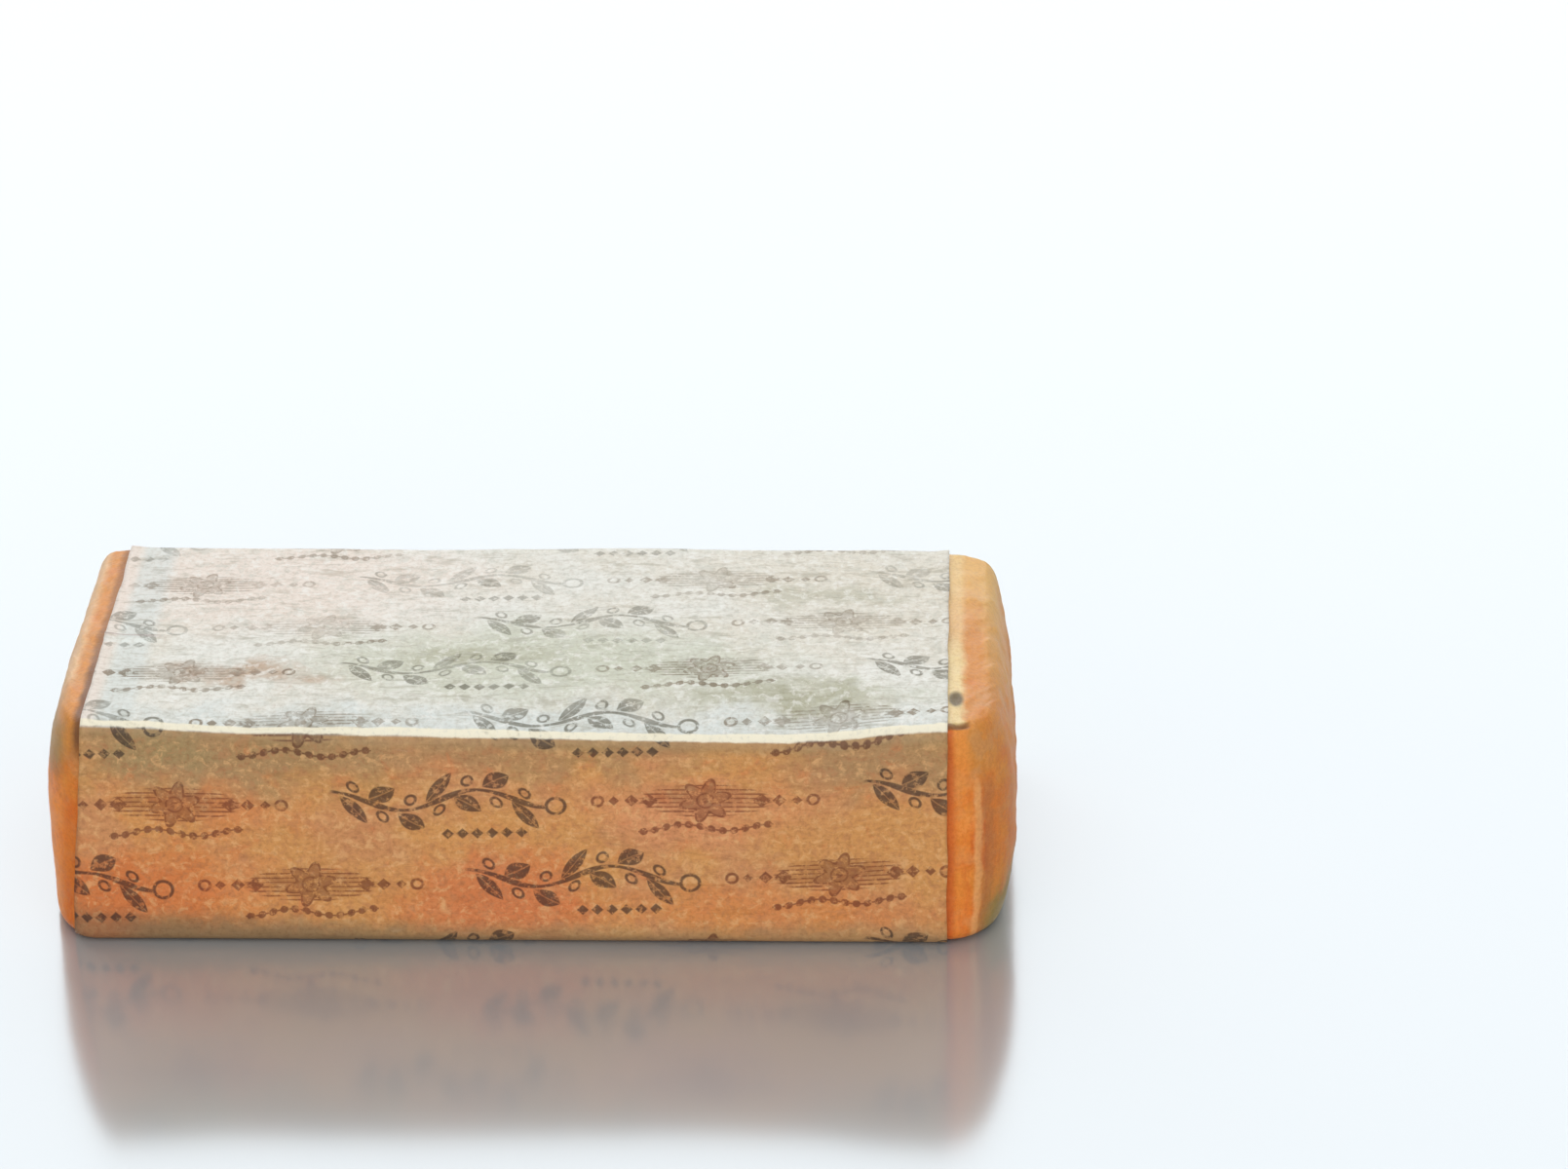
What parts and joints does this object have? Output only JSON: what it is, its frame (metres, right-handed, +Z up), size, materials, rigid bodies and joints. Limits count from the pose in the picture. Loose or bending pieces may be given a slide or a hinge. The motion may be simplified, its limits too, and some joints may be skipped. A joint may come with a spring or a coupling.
{
  "type": "taleggio cheese",
  "caption": "Half of a square washed-rind cheese with rounded ends and a flat cut face with small eyes, its top, front and underside still covered by one folded sheet of paper.",
  "frame": {"origin": "middle of the underside of the bounding box, on the surface the block rests on", "axes": "+X along the block's length, +Y from the rounded rind side to the cut face, +Z up"},
  "size_m": [0.1999, 0.0779, 0.0516],
  "materials": {
    "rind": "soft moist washed rind, orange to tan, with a pale cream cut face",
    "paper": "thin matt parchment with a faded brown pattern, stained tan where it clings to the rind"
  },
  "bodies": {
    "root": {"cheese_block": "rind", "paper_wrap": "paper"}
  },
  "joints": []
}
